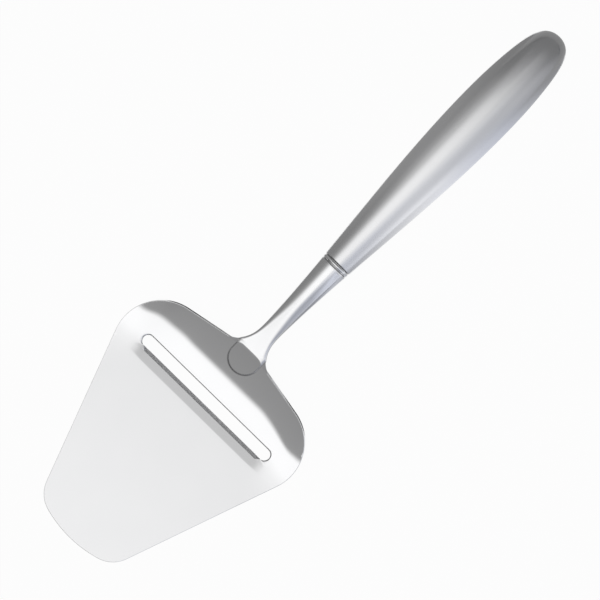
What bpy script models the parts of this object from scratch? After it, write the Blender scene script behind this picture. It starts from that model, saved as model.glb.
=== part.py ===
"""Cheese slicer in stainless steel: a pressed blade, a forged neck and a hollow, turned handle.

Metres, +Z up. +X runs from the tip of the blade to the butt of the handle and Y runs across the blade.
The slicer lies at rest: its cutting lip and the belly of its handle touch the plane Z = 0.
Pieces are modelled with x measured from the tip and carried by one empty that centres the length.
"""
import bpy
import bmesh
from math import asin, atan2, cos, pi, radians, sin, sqrt, tan

# Blade, one pressed sheet
BLADE_LENGTH = 0.0905
BLADE_WIDTH = 0.0809
SHEET = 0.0012
TIP_ARC_RADIUS = 0.0448
TIP_CORNER_RADIUS = 0.0111
SIDE_TAPER = radians(19.85)
SHOULDER_RADIUS = 0.0176
REAR_SWEEP = radians(10.85)
REAR_FLAT = 0.0124

# Slot, and the cutting lip bent down in front of it
SLOT_WIDTH = 0.0043
SLOT_REAR_LAND = 0.01995
SLOT_SIDE_LAND = 0.00995
LIP_WIDTH = 0.00465
LIP_BEND_RADIUS = 0.0050
LIP_PITCH = radians(10.0)
LIP_FADE = 0.0052
GRIND_WIDTH = 0.00135
EDGE_THICKNESS = 0.0002

# Rear of the blade, rolled up towards the neck from the middle of the slot
ROLL_RADIUS = 0.052
ROLL_ANGLE = radians(24.0)
# Beside the slot the line where the roll starts bows forward, and its start gets soft
ROLL_BOW = 0.0032
BOW_START = 0.0170
BOW_END = 0.0400
SOFT_MIDDLE = 0.0010
SOFT_SIDES = 0.0070
SOFT_START = 0.0240
SOFT_END = 0.0360
SOFT_REACH = 0.0120

# Neck, forged with a tongue on the blade and a tang in the handle
TONGUE_LENGTH = 0.0087
TONGUE_RADIUS = 0.00605
TONGUE_NOSE_THICKNESS = 0.0011
TONGUE_ROOT_THICKNESS = 0.0024
WELD_WIDTH = 0.0010
NECK_LENGTH = 0.0400
NECK_ROOT_WIDTH = 0.0123
NECK_WAIST_WIDTH = 0.0070
NECK_WAIST_RUN = 0.0099
NECK_PITCH = radians(9.0)
NECK_EDGE_ROUND = 0.00035
TANG_RADIUS = 0.0025
TANG_LENGTH = 0.0450

# Bead ring between neck and handle
RING_WIDTH = 0.0011
BEAD_RADIUS = 0.0010

# Hollow handle, two half shells of one turned shape
HANDLE_LENGTH = 0.1106
MOUTH_RADIUS = 0.00559
MOUTH_SLOPE = 0.085
BELLY_RADIUS = 0.01026
BELLY_RUN = 0.0737
WALL = 0.0009
MOUTH_EDGE_ROUND = 0.00045
BUSH_LENGTH = 0.0080
CORE_COVER = 0.0150

# Clearances
GAP = 0.0003
CUT_MARGIN = 0.003

# Shape of the curves: how fast a flare dies out, how square a section is, how the butt tapers and ends
FLARE_POWER = 3.0
SWELL_POWER = 1.25
TONGUE_SQUARENESS = 8.0
SQUARENESS_FADE = 4.5
ROUND = 2.0
BUTT_TAPER = 0.614
TAPER_POWER = 2.1
END_POWER = 11.0

# Facets
ARC_STEPS = 10
BEND_STEPS = 3
ROLL_STEPS = 8
BOW_STEPS = 4
SOFT_STEPS = 4
FADE_STEPS = 4
TONGUE_STEPS = 6
SEAT_STEPS = 12
WELD_STEPS = 3
NECK_STEPS = 14
STATION_CROWDING = 1.5
SECTION_POINTS = 24
TURN_STEPS = 26
RIM_STEPS = 4
EDGE_STEPS = 3
HANDLE_STEPS = 12
BUTT_STEPS = 12
BUTT_CROWDING = 2
MERGE = 0.000001
FLAT_ANGLE = radians(0.05)
SHARP_ANGLE = radians(30.0)
SLOPE_STEP = 0.00001

# Places along the tool, measured from the tip
SLOT_REAR = BLADE_LENGTH - SLOT_REAR_LAND
CUTTING_EDGE = SLOT_REAR - SLOT_WIDTH
SLOT_MIDDLE = CUTTING_EDGE + SLOT_WIDTH / 2
SLOT_HALF_LENGTH = BLADE_WIDTH / 2 - SLOT_SIDE_LAND
LIP_START = CUTTING_EDGE - LIP_WIDTH
TONGUE_NOSE = BLADE_LENGTH - TONGUE_LENGTH
CREASE = BLADE_LENGTH + GAP
NECK_ROOT = BLADE_LENGTH + WELD_WIDTH + 2 * GAP
NECK_SHOULDER = NECK_ROOT + NECK_LENGTH
RING_START = NECK_SHOULDER + GAP
MOUTH = RING_START + RING_WIDTH + GAP
BELLY = MOUTH + BELLY_RUN
TANG_END = MOUTH + TANG_LENGTH
BUTT = MOUTH + HANDLE_LENGTH
TOTAL_LENGTH = BUTT
AXIS_HEIGHT = BELLY_RADIUS


def clamp(value, low=0.0, high=1.0):
    return max(low, min(high, value))


def smooth(t):
    return t * t * (3 - 2 * t)


def hermite(t, start, end, start_slope, end_slope, run):
    """Cubic from start to end over a run, with a slope at each end."""
    rest = 1 - t
    return (start * (1 + 2 * t) * rest * rest + end * (3 - 2 * t) * t * t
            + run * t * rest * (start_slope * rest - end_slope * t))


def bend_height(run, radius, angle):
    """Height gained by a sheet that bends round a radius to an angle and then runs on straight."""
    arc_run = radius * sin(angle)
    on_arc = clamp(run, 0.0, arc_run)
    return radius - sqrt(radius ** 2 - on_arc ** 2) + max(run - arc_run, 0.0) * tan(angle)


SOLE_HEIGHT = bend_height(LIP_WIDTH, LIP_BEND_RADIUS, LIP_PITCH)


def roll_run(x, y):
    """Way behind the line where the roll starts."""
    run = x - SLOT_MIDDLE + ROLL_BOW * smooth(clamp((abs(y) - BOW_START) / (BOW_END - BOW_START)))
    soft = SOFT_MIDDLE + SOFT_SIDES * smooth(clamp((abs(y) - SOFT_START) / (SOFT_END - SOFT_START)))
    return (run + sqrt(run * run + soft * soft)) / 2


def sole(x, y=0.0):
    """Underside of the sheet, without the lip."""
    return SOLE_HEIGHT + bend_height(roll_run(x, y), ROLL_RADIUS, ROLL_ANGLE)


def sheet_height(x, y=0.0):
    """Upright thickness of the sheet, which grows as the sheet tilts."""
    slope = (sole(x + SLOPE_STEP, y) - sole(x - SLOPE_STEP, y)) / (2 * SLOPE_STEP)
    return SHEET * sqrt(1 + slope * slope)


def blade_top(x):
    return sole(x) + sheet_height(x)


def seat(x):
    """Underside of the tongue, clear of the blade."""
    return blade_top(x) + GAP


def tongue_top(x):
    along = clamp((x - TONGUE_NOSE) / (NECK_ROOT - TONGUE_NOSE))
    return seat(x) + TONGUE_NOSE_THICKNESS + (TONGUE_ROOT_THICKNESS - TONGUE_NOSE_THICKNESS) * along


def flow_radius(x):
    """Radius of the line that runs on from the handle's mouth over the ring to the neck."""
    return MOUTH_RADIUS - MOUTH_SLOPE * (MOUTH - x)


def neck_half_width(x):
    """Half width of the neck in plan: a flare dying out at the waist, then a swell to the ring."""
    waist = NECK_WAIST_WIDTH / 2
    from_root = (x - NECK_ROOT) / NECK_WAIST_RUN
    if from_root < 1:
        return waist + (NECK_ROOT_WIDTH / 2 - waist) * (1 - from_root) ** FLARE_POWER
    along = (x - NECK_ROOT - NECK_WAIST_RUN) / (NECK_LENGTH - NECK_WAIST_RUN)
    return waist + (flow_radius(NECK_SHOULDER) - waist) * along ** SWELL_POWER


def handle_radius(x, inset=0.0):
    """Radius of the handle at x, or of the surface that lies inset under it."""
    mouth = MOUTH_RADIUS - inset
    belly = BELLY_RADIUS - inset
    if x <= BELLY:
        return hermite((x - MOUTH) / BELLY_RUN, mouth, belly, MOUTH_SLOPE, 0.0, BELLY_RUN)
    along = clamp((x - BELLY) / (BUTT - inset - BELLY))
    taper = BUTT_TAPER * along ** TAPER_POWER
    end = (1 - BUTT_TAPER) * along ** END_POWER
    return belly * sqrt(max(1 - taper - end, 0.0))


def arc(centre, radius, start, end, steps=ARC_STEPS):
    """Points along a circular arc, both ends included."""
    angles = [start + (end - start) * i / steps for i in range(steps + 1)]
    return [(centre[0] + radius * cos(a), centre[1] + radius * sin(a)) for a in angles]


def mirrored(points):
    return [(x, -y) for x, y in reversed(points)]


def blade_outline():
    """Outline of the sheet: tip arc, round corners, straight sides, round shoulders, swept rear."""
    side_normal = pi / 2 + SIDE_TAPER
    rear_half_width = REAR_FLAT / 2
    shoulder_y = BLADE_WIDTH / 2 - SHOULDER_RADIUS
    reach = SHOULDER_RADIUS - sin(REAR_SWEEP) * (rear_half_width - shoulder_y)
    shoulder_x = BLADE_LENGTH - reach / cos(REAR_SWEEP)
    # The corner's centre lies on the line parallel to the side, and its arc touches the tip arc from inside
    inward = SHOULDER_RADIUS - TIP_CORNER_RADIUS
    line_x = shoulder_x + inward * cos(side_normal) - TIP_ARC_RADIUS
    line_y = shoulder_y + inward * sin(side_normal)
    along = line_x * cos(SIDE_TAPER) + line_y * sin(SIDE_TAPER)
    span = (TIP_ARC_RADIUS - TIP_CORNER_RADIUS) ** 2 - line_x ** 2 - line_y ** 2
    back = along + sqrt(along ** 2 + span)
    corner = (line_x + TIP_ARC_RADIUS - back * cos(SIDE_TAPER), line_y - back * sin(SIDE_TAPER))
    corner_start = atan2(corner[1], corner[0] - TIP_ARC_RADIUS)
    half = arc((TIP_ARC_RADIUS, 0), TIP_ARC_RADIUS, pi, corner_start)
    half += arc(corner, TIP_CORNER_RADIUS, corner_start, side_normal)[1:]
    half += arc((shoulder_x, shoulder_y), SHOULDER_RADIUS, side_normal, REAR_SWEEP)
    half.append((BLADE_LENGTH, rear_half_width))
    return half + mirrored(half[1:])


def slot_outline():
    radius = SLOT_WIDTH / 2
    end = arc((SLOT_MIDDLE, SLOT_HALF_LENGTH - radius), radius, pi, 0)
    return end + mirrored(end)


def steel(name, colour, roughness, metallic=1.0):
    material = bpy.data.materials.new(name)
    material.use_nodes = True
    shader = material.node_tree.nodes["Principled BSDF"]
    shader.inputs["Base Color"].default_value = (*colour, 1.0)
    shader.inputs["Roughness"].default_value = roughness
    shader.inputs["Metallic"].default_value = metallic
    return material


def place(name, mesh, collection, parent, material=None):
    """Put a mesh in the scene under the empty that carries the slicer."""
    piece = bpy.data.objects.new(name, mesh)
    collection.objects.link(piece)
    piece.parent = parent
    if material:
        mesh.materials.append(material)
    return piece


def plate_mesh(name, loops, thickness):
    """Flat plate with its middle on Z = 0: a filled 2D curve, turned into a welded mesh."""
    curve = bpy.data.curves.new(name, "CURVE")
    curve.dimensions = "2D"
    curve.fill_mode = "BOTH"
    curve.extrude = thickness / 2
    for loop in loops:
        spline = curve.splines.new("POLY")
        spline.points.add(len(loop) - 1)
        spline.use_cyclic_u = True
        for point, (x, y) in zip(spline.points, loop):
            point.co = (x, y, 0.0, 1.0)
    outline = bpy.data.objects.new(name, curve)
    bpy.context.scene.collection.objects.link(outline)
    evaluated = outline.evaluated_get(bpy.context.evaluated_depsgraph_get())
    mesh = bpy.data.meshes.new_from_object(evaluated)
    bpy.data.objects.remove(outline)
    bpy.data.curves.remove(curve)
    mesh.name = name
    shape = bmesh.new()
    shape.from_mesh(mesh)
    bmesh.ops.remove_doubles(shape, verts=shape.verts, dist=MERGE)
    bmesh.ops.recalc_face_normals(shape, faces=shape.faces)
    shape.to_mesh(mesh)
    shape.free()
    return mesh


def cut_across(shape, normal, places, start, end):
    """Cut the faces that lie between start and end in x along planes, so that they can bend there."""
    for value in places:
        faces = [face for face in shape.faces if start < face.calc_center_median().x < end]
        edges = {edge for face in faces for edge in face.edges}
        verts = {vert for face in faces for vert in face.verts}
        point = tuple(value * n for n in normal)
        geometry = list(verts) + list(edges) + faces
        bmesh.ops.bisect_plane(shape, geom=geometry, dist=MERGE, plane_co=point, plane_no=normal)


def lip_fade(y):
    """1 along the lip, falling to 0 at the ends of the slot."""
    return smooth(clamp((SLOT_HALF_LENGTH - abs(y)) / LIP_FADE))


def lip_drop(x, y):
    if x > SLOT_MIDDLE:
        return 0.0
    run = min(x, CUTTING_EDGE) - LIP_START
    return bend_height(run, LIP_BEND_RADIUS, LIP_PITCH) * lip_fade(y)


def ground_height(x, y):
    """What the ground facet takes off the top of the lip."""
    if x > SLOT_MIDDLE:
        return 0.0
    along = clamp((x - CUTTING_EDGE + GRIND_WIDTH) / GRIND_WIDTH)
    return (SHEET - EDGE_THICKNESS) * along * lip_fade(y)


def make_blade(collection, parent):
    mesh = plate_mesh("blade", [blade_outline(), slot_outline()], SHEET)
    shape = bmesh.new()
    shape.from_mesh(mesh)
    bmesh.ops.dissolve_limit(shape, angle_limit=FLAT_ANGLE, verts=shape.verts, edges=shape.edges)
    bend_run = LIP_BEND_RADIUS * sin(LIP_PITCH)
    arc_run = ROLL_RADIUS * sin(ROLL_ANGLE)
    soft_front = SLOT_MIDDLE - SOFT_REACH
    across = [LIP_START + bend_run * i / BEND_STEPS for i in range(BEND_STEPS + 1)]
    across += [CUTTING_EDGE - GRIND_WIDTH, CUTTING_EDGE]
    across += [SLOT_MIDDLE + arc_run * i / ROLL_STEPS for i in range(ROLL_STEPS + 1)]
    across += [SLOT_MIDDLE - SOFT_REACH * i / SOFT_STEPS for i in range(1, SOFT_STEPS + 1)]
    bows = [BOW_START + (BOW_END - BOW_START) * i / BOW_STEPS for i in range(BOW_STEPS)]
    fades = [SLOT_HALF_LENGTH - LIP_FADE * i / FADE_STEPS for i in range(FADE_STEPS + 1)]
    cut_across(shape, (1, 0, 0), across, 0.0, BLADE_LENGTH)
    cut_across(shape, (0, 1, 0), fades + [-y for y in fades], LIP_START, SLOT_MIDDLE)
    cut_across(shape, (0, 1, 0), bows + [-y for y in bows], soft_front, BLADE_LENGTH)
    for vert in shape.verts:
        x, y, z = vert.co
        on_top = z > 0
        height = sole(x, y) - lip_drop(x, y)
        if on_top:
            height += sheet_height(x, y) - ground_height(x, y)
        vert.co.z = height
    bmesh.ops.dissolve_limit(shape, angle_limit=FLAT_ANGLE, verts=shape.verts, edges=shape.edges)
    bmesh.ops.triangulate(shape, faces=shape.faces, quad_method="BEAUTY", ngon_method="BEAUTY")
    shape.to_mesh(mesh)
    shape.free()
    return place("blade", mesh, collection, parent, steel("blade_polish", (0.80, 0.80, 0.81), 0.08))


def section(x, half_width, half_height, middle, squareness):
    """Closed cross-section of the neck: an ellipse when squareness is 2, boxier above that."""
    power = 2 / squareness
    points = []
    for i in range(SECTION_POINTS):
        angle = 2 * pi * i / SECTION_POINTS
        side = abs(cos(angle)) ** power * (1 if cos(angle) > 0 else -1)
        up = abs(sin(angle)) ** power * (1 if sin(angle) > 0 else -1)
        points.append((x, half_width * side, middle + half_height * up))
    return points


def round_section(x, radius):
    return section(x, radius, radius, AXIS_HEIGHT, ROUND)


def neck_sections():
    """Sections from the nose of the tongue to the end of the tang."""
    root_top = tongue_top(CREASE) + (NECK_ROOT - CREASE) * tan(NECK_PITCH)
    root_half_height = (root_top - sole(NECK_ROOT)) / 2
    end_radius = flow_radius(NECK_SHOULDER)
    rings = []
    for i in range(1, TONGUE_STEPS + 1):
        turn = pi / 2 * i / TONGUE_STEPS
        x = TONGUE_NOSE + TONGUE_RADIUS * (1 - cos(turn))
        middle = tongue_top(x) - root_half_height
        rings.append(section(x, TONGUE_RADIUS * sin(turn), root_half_height, middle, TONGUE_SQUARENESS))
    middle = tongue_top(CREASE) - root_half_height
    rings.append(section(CREASE, TONGUE_RADIUS, root_half_height, middle, TONGUE_SQUARENESS))
    flare_start = NECK_ROOT - GAP
    flare_end = NECK_SHOULDER - NECK_EDGE_ROUND
    for i in range(NECK_STEPS + 1):
        along = (i / NECK_STEPS) ** STATION_CROWDING
        x = flare_start + (flare_end - flare_start) * along
        half_height = root_half_height + (end_radius - root_half_height) * along
        top = hermite(along, root_top, AXIS_HEIGHT + end_radius, tan(NECK_PITCH), MOUTH_SLOPE, NECK_LENGTH)
        squareness = ROUND + (TONGUE_SQUARENESS - ROUND) * (1 - along) ** SQUARENESS_FADE
        rings.append(section(x, neck_half_width(x), half_height, top - half_height, squareness))
    rings.append(round_section(NECK_SHOULDER, end_radius - NECK_EDGE_ROUND))
    rings.append(round_section(NECK_SHOULDER, TANG_RADIUS))
    rings.append(round_section(TANG_END, TANG_RADIUS))
    return rings


def loft_mesh(name, sections):
    """Skin over sections that have the same number of points, closed at both ends."""
    shape = bmesh.new()
    rings = [[shape.verts.new(point) for point in points] for points in sections]
    for near, far in zip(rings, rings[1:]):
        for i in range(SECTION_POINTS):
            j = (i + 1) % SECTION_POINTS
            shape.faces.new((near[i], near[j], far[j], far[i]))
    shape.faces.new(rings[0])
    shape.faces.new(rings[-1])
    bmesh.ops.recalc_face_normals(shape, faces=shape.faces)
    mesh = bpy.data.meshes.new(name)
    shape.to_mesh(mesh)
    shape.free()
    return mesh


def seat_cutter(collection, parent):
    """Space for the blade and the weld under the tongue: a side profile drawn out across the neck."""
    start = TONGUE_NOSE - CUT_MARGIN
    places = [start + (NECK_ROOT - start) * i / SEAT_STEPS for i in range(SEAT_STEPS + 1)]
    loop = [(x, seat(x)) for x in places] + [(NECK_ROOT, -CUT_MARGIN), (start, -CUT_MARGIN)]
    width = max(NECK_ROOT_WIDTH, 2 * TONGUE_RADIUS) + 2 * CUT_MARGIN
    cutter = place("seat_cutter", plate_mesh("seat_cutter", [loop], width), collection, parent)
    cutter.rotation_euler = (pi / 2, 0, 0)
    cutter.hide_render = True
    cutter.display_type = "WIRE"
    return cutter


def cut(piece, cutter):
    boolean = piece.modifiers.new(cutter.name, "BOOLEAN")
    boolean.operation = "DIFFERENCE"
    boolean.object = cutter


def shade_round(mesh):
    mesh.shade_smooth()
    mesh.set_sharp_from_angle(angle=SHARP_ANGLE)


def make_neck(collection, cutters, parent):
    mesh = loft_mesh("neck", neck_sections())
    shade_round(mesh)
    neck = place("neck", mesh, collection, parent, steel("neck_polish", (0.78, 0.78, 0.79), 0.14))
    cut(neck, seat_cutter(cutters, parent))
    return neck


def make_root_weld(collection, parent):
    """Weld metal, ground flush, between the rear edge of the blade and the shoulder of the neck."""
    corner = neck_half_width(CREASE)
    swept = CREASE - (corner - REAR_FLAT / 2) * tan(REAR_SWEEP)
    places = [CREASE + WELD_WIDTH * i / WELD_STEPS for i in range(1, WELD_STEPS + 1)]
    half = [(CREASE, REAR_FLAT / 2), (swept, corner)] + [(x, neck_half_width(x)) for x in places]
    mesh = plate_mesh("root_weld", [half + mirrored(half)], SHEET)
    for vert in mesh.vertices:
        on_top = vert.co.z > 0
        vert.co.z = blade_top(vert.co.x) if on_top else sole(vert.co.x)
    return place("root_weld", mesh, collection, parent, steel("weld_metal", (0.72, 0.72, 0.74), 0.25))


def turned(name, profile, closed, collection, parent, material):
    """Turned piece on the handle's axis. Its profile holds (x, radius), butt first on the outer side."""
    shape = bmesh.new()
    verts = [shape.verts.new((radius, 0.0, x)) for x, radius in profile]
    for near, far in zip(verts, verts[1:]):
        shape.edges.new((near, far))
    if closed:
        shape.edges.new((verts[-1], verts[0]))
    mesh = bpy.data.meshes.new(name)
    shape.to_mesh(mesh)
    shape.free()
    piece = place(name, mesh, collection, parent, material)
    piece.location = (0, 0, AXIS_HEIGHT)
    piece.rotation_euler = (0, pi / 2, 0)
    screw = piece.modifiers.new("turn", "SCREW")
    screw.axis = "Z"
    screw.angle = 2 * pi
    screw.steps = TURN_STEPS
    screw.render_steps = TURN_STEPS
    screw.use_merge_vertices = True
    screw.merge_threshold = MERGE
    screw.use_smooth_shade = True
    return piece


def make_ring(collection, parent):
    """Bead ring: a round rim on a flat washer that slides on the tang."""
    middle = RING_START + RING_WIDTH / 2
    lean = asin(RING_WIDTH / 2 / BEAD_RADIUS)
    rim = arc((middle, flow_radius(middle) - BEAD_RADIUS), BEAD_RADIUS, pi / 2 - lean, pi / 2 + lean, RIM_STEPS)
    bore = [(RING_START, TANG_RADIUS + GAP), (RING_START + RING_WIDTH, TANG_RADIUS + GAP)]
    material = steel("ring_polish", (0.78, 0.78, 0.79), 0.14)
    return turned("collar_ring", rim + bore, True, collection, parent, material)


def handle_stations(start, inset):
    """Places along the handle, closer together towards the butt."""
    front = [start + (BELLY - start) * i / HANDLE_STEPS for i in range(HANDLE_STEPS)]
    rear_run = BUTT - inset - BELLY
    rear = [BELLY + rear_run * (1 - (1 - i / BUTT_STEPS) ** BUTT_CROWDING) for i in range(BUTT_STEPS + 1)]
    return front + rear


def shell_profile():
    """Wall of the handle, from the butt along the outside to the mouth and back along the inside."""
    inner = [(x, handle_radius(x, WALL)) for x in handle_stations(MOUTH, WALL)]
    outer = [(x, handle_radius(x)) for x in handle_stations(MOUTH + MOUTH_EDGE_ROUND, 0.0)]
    lip_radius = outer[0][1] - MOUTH_EDGE_ROUND
    lip = arc((MOUTH + MOUTH_EDGE_ROUND, lip_radius), MOUTH_EDGE_ROUND, pi / 2, pi, EDGE_STEPS)
    return outer[:0:-1] + lip + inner


def half_cutter(name, side, collection, parent):
    """Block that takes away the half of the turned handle on one side of the seam."""
    shape = bmesh.new()
    bmesh.ops.create_cube(shape, size=1.0)
    height = BELLY_RADIUS + CUT_MARGIN
    size = (HANDLE_LENGTH + 2 * CUT_MARGIN, 2 * height, height)
    bmesh.ops.scale(shape, vec=size, verts=shape.verts)
    mesh = bpy.data.meshes.new(name)
    shape.to_mesh(mesh)
    shape.free()
    cutter = place(name, mesh, collection, parent)
    cutter.location = (MOUTH + HANDLE_LENGTH / 2, 0, AXIS_HEIGHT + side * (height - GAP) / 2)
    cutter.hide_render = True
    cutter.display_type = "WIRE"
    return cutter


def make_handle(collection, cutters, parent):
    """Two pressed half shells that meet at a seam along the widest line of the handle."""
    for name, cut_side in (("handle_upper_shell", -1), ("handle_lower_shell", 1)):
        material = steel(name + "_satin", (0.70, 0.70, 0.71), 0.34)
        shell = turned(name, shell_profile(), False, collection, parent, material)
        cut(shell, half_cutter(name + "_cutter", cut_side, cutters, parent))


def make_bush(collection, parent):
    """Sleeve in the mouth of the handle, with the tang through it."""
    end = MOUTH + BUSH_LENGTH
    outer = [(x, handle_radius(x, WALL) - GAP) for x in (end, MOUTH)]
    bore = [(MOUTH, TANG_RADIUS + GAP), (end, TANG_RADIUS + GAP)]
    material = steel("bush_steel", (0.60, 0.60, 0.61), 0.40)
    return turned("mouth_bush", outer + bore, True, collection, parent, material)


def make_core(collection, parent):
    """Cast filling behind the bush, with a blind hole round the tang."""
    start = MOUTH + BUSH_LENGTH + GAP
    hole_end = TANG_END + GAP
    end = hole_end + CORE_COVER
    places = [end + (start - end) * i / HANDLE_STEPS for i in range(HANDLE_STEPS + 1)]
    outer = [(x, handle_radius(x, WALL) - GAP) for x in places]
    bore = TANG_RADIUS + GAP
    profile = [(end, 0.0)] + outer + [(start, bore), (hole_end, bore), (hole_end, 0.0)]
    material = steel("cast_filling", (0.33, 0.31, 0.28), 0.85, 0.0)
    return turned("handle_core", profile, False, collection, parent, material)


def main():
    for old in list(bpy.data.objects):
        bpy.data.objects.remove(old)
    parts = bpy.data.collections.new("cheese_slicer")
    cutters = bpy.data.collections.new("cheese_slicer_cutters")
    bpy.context.scene.collection.children.link(parts)
    bpy.context.scene.collection.children.link(cutters)
    carrier = bpy.data.objects.new("slicer_carrier", None)
    parts.objects.link(carrier)
    carrier.location = (-TOTAL_LENGTH / 2, 0, 0)
    make_blade(parts, carrier)
    make_neck(parts, cutters, carrier)
    make_root_weld(parts, carrier)
    make_ring(parts, carrier)
    make_handle(parts, cutters, carrier)
    make_bush(parts, carrier)
    make_core(parts, carrier)


main()
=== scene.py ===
# %% [markdown]
# # A cheese slicer in stainless steel
# The slicer is one sheet of pressed steel, a forged neck, a bead ring and a hollow handle. The packed CAD
# model gives every piece its place in metres, so this lesson only has to give each piece its true curves,
# its edges and its polish. Loading the model first means that each later step can measure itself against it.

# %% Load the packed model
from math import asin, atan2, cos, pi, radians, sin, sqrt, tan

import bmesh
import bpy
from mathutils import Matrix, Vector


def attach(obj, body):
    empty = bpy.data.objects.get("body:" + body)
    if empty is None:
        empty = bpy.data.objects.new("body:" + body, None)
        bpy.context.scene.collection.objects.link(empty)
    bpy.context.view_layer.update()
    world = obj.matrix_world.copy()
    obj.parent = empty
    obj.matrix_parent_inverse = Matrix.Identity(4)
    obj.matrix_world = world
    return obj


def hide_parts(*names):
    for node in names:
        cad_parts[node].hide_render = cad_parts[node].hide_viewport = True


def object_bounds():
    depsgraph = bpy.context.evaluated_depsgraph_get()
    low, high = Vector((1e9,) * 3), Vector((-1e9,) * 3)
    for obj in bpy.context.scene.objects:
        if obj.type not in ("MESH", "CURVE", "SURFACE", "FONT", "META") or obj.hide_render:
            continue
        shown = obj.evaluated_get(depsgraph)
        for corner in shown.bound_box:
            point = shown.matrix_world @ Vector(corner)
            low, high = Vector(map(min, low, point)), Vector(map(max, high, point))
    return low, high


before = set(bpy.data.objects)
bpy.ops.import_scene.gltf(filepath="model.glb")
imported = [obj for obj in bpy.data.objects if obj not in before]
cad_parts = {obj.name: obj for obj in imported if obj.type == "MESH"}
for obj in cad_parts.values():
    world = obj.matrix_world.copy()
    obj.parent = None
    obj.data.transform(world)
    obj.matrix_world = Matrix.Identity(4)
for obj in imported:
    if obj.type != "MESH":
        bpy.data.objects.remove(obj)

cad_low, cad_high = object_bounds()
print("CAD box, mm:", [round(1000 * size, 2) for size in cad_high - cad_low])

# %% [markdown]
# ## The camera
# The slicer is seen from straight above, lying across the square picture from corner to corner. A long lens
# far away keeps the handle, which stands higher than the blade, from looking larger than it is. The turn of
# the camera, and not of the slicer, puts the tool on the diagonal, so the model keeps its own axes.

# %% Camera above the table
PICTURE_WIDTH = 0.2094
CAMERA_HEIGHT = 2.0
SHARP_PLANE = 0.005
PICTURE_MIDDLE = (-0.0065, 0.00047)
TOOL_TURN = radians(45.62)
SENSOR_MM = 36.0

lens = bpy.data.cameras.new("overhead_camera")
lens.sensor_width = SENSOR_MM
lens.lens = SENSOR_MM * CAMERA_HEIGHT / PICTURE_WIDTH
camera = bpy.data.objects.new("overhead_camera", lens)
camera.location = (*PICTURE_MIDDLE, SHARP_PLANE + CAMERA_HEIGHT)
camera.rotation_euler = (0, 0, -TOOL_TURN)
bpy.context.scene.collection.objects.link(camera)
bpy.context.scene.camera = camera
bpy.context.scene.view_settings.view_transform = "Standard"
print("lens, mm:", round(lens.lens))

# %% [markdown]
# ## Sockets that do sums
# Shader maths is easier to read as Python than as a picture of nodes. This class holds one socket. Adding or
# multiplying two of them adds a Math node behind the scenes, and `node` adds any other kind: its settings
# first, then the values or links of its sockets.

# %% A socket that works in expressions
class Signal:
    """One output socket of a node tree, ready for use in expressions."""

    def __init__(self, tree, socket=None):
        self.tree = tree
        self.socket = socket

    def node(self, kind, settings=(), values=(), output=0):
        made = self.tree.nodes.new(kind)
        for name, value in dict(settings).items():
            if name == "stops":
                ramp = made.color_ramp
                while len(ramp.elements) < len(value):
                    ramp.elements.new(0.5)
                for element, (place, colour) in zip(ramp.elements, value):
                    element.position = place
                    element.color = (*colour, 1.0)
            else:
                setattr(made, name, value)
        for name, value in dict(values).items():
            if isinstance(value, Signal):
                self.tree.links.new(value.socket, made.inputs[name])
            else:
                made.inputs[name].default_value = value
        return Signal(self.tree, made.outputs[output] if len(made.outputs) else None)

    def out(self, name):
        return Signal(self.tree, self.socket.node.outputs[name])

    def math(self, operation, first, second):
        return self.node("ShaderNodeMath", {"operation": operation}, {0: first, 1: second})

    def __add__(self, other):
        return self.math("ADD", self, other)

    def __radd__(self, other):
        return self.math("ADD", other, self)

    def __sub__(self, other):
        return self.math("SUBTRACT", self, other)

    def __rsub__(self, other):
        return self.math("SUBTRACT", other, self)

    def __mul__(self, other):
        return self.math("MULTIPLY", self, other)

    def __rmul__(self, other):
        return self.math("MULTIPLY", other, self)

    def __or__(self, other):
        return self.math("MAXIMUM", self, other)

    def __abs__(self):
        return self.math("ABSOLUTE", self, 0.0)

    def fade(self, start, end):
        """Soft step: 0 before start, 1 after end, whichever of the two is larger."""
        values = {"Value": self, "From Min": start, "From Max": end}
        return self.node("ShaderNodeMapRange", {"interpolation_type": "SMOOTHSTEP"}, values)


def blank_tree(owner):
    owner.use_nodes = True
    owner.node_tree.nodes.clear()
    return Signal(owner.node_tree)


print("operators ready:", [name for name in vars(Signal) if name.startswith("__")][3:])

# %% [markdown]
# ## Studio light
# Polished steel has hardly any colour of its own: what is seen is the room. A studio for cutlery is a bright
# cloth overhead with darker ends. The room here is a world whose brightness depends on direction alone, one
# band along the tool and one across it, so every piece shows the same soft room from every side. At the
# blade's end the cloth hangs a little askew, which slants the rim of the dark reflection on the blade.

# %% The room that the steel reflects
BRIGHTEST_ALONG = 1.4
BRIGHTEST_ACROSS = 1.1
CLOTH_SKEW = 0.30
SKEW_BAND = (-0.34, -0.38)
LILAC = (0.92, 0.955, 1.07)
PLAIN = (1.0, 1.0, 1.0)

# Each stop is a part of the direction along one axis, and a brightness
ALONG_TOOL = [(-1.0, 0.12), (-0.96, 0.16), (-0.90, 0.31), (-0.438, 0.36), (-0.380, 1.23), (-0.16, 1.23),
              (-0.128, 1.18), (-0.09, 1.12), (-0.05, 1.06), (-0.02, 0.98), (0.0, 0.93), (0.05, 0.84),
              (0.13, 0.70), (0.20, 0.67), (0.36, 0.67), (0.42, 0.34), (0.50, 0.26), (1.0, 0.22)]
ACROSS_LILAC = [(-1.0, 0.48), (-0.60, 0.42), (-0.45, 0.54)]
ACROSS_PLAIN = [(-0.30, 0.76), (-0.15, 0.96), (0.0, 1.0), (0.32, 1.0), (0.46, 0.87), (0.60, 0.62),
                (0.75, 0.36), (0.90, 0.25), (1.0, 0.22)]


def stops(levels, tone, top):
    """Ramp stops for levels given by a direction from -1 to 1."""
    return [((place + 1) / 2, tuple(level * part / top for part in tone)) for place, level in levels]


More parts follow.
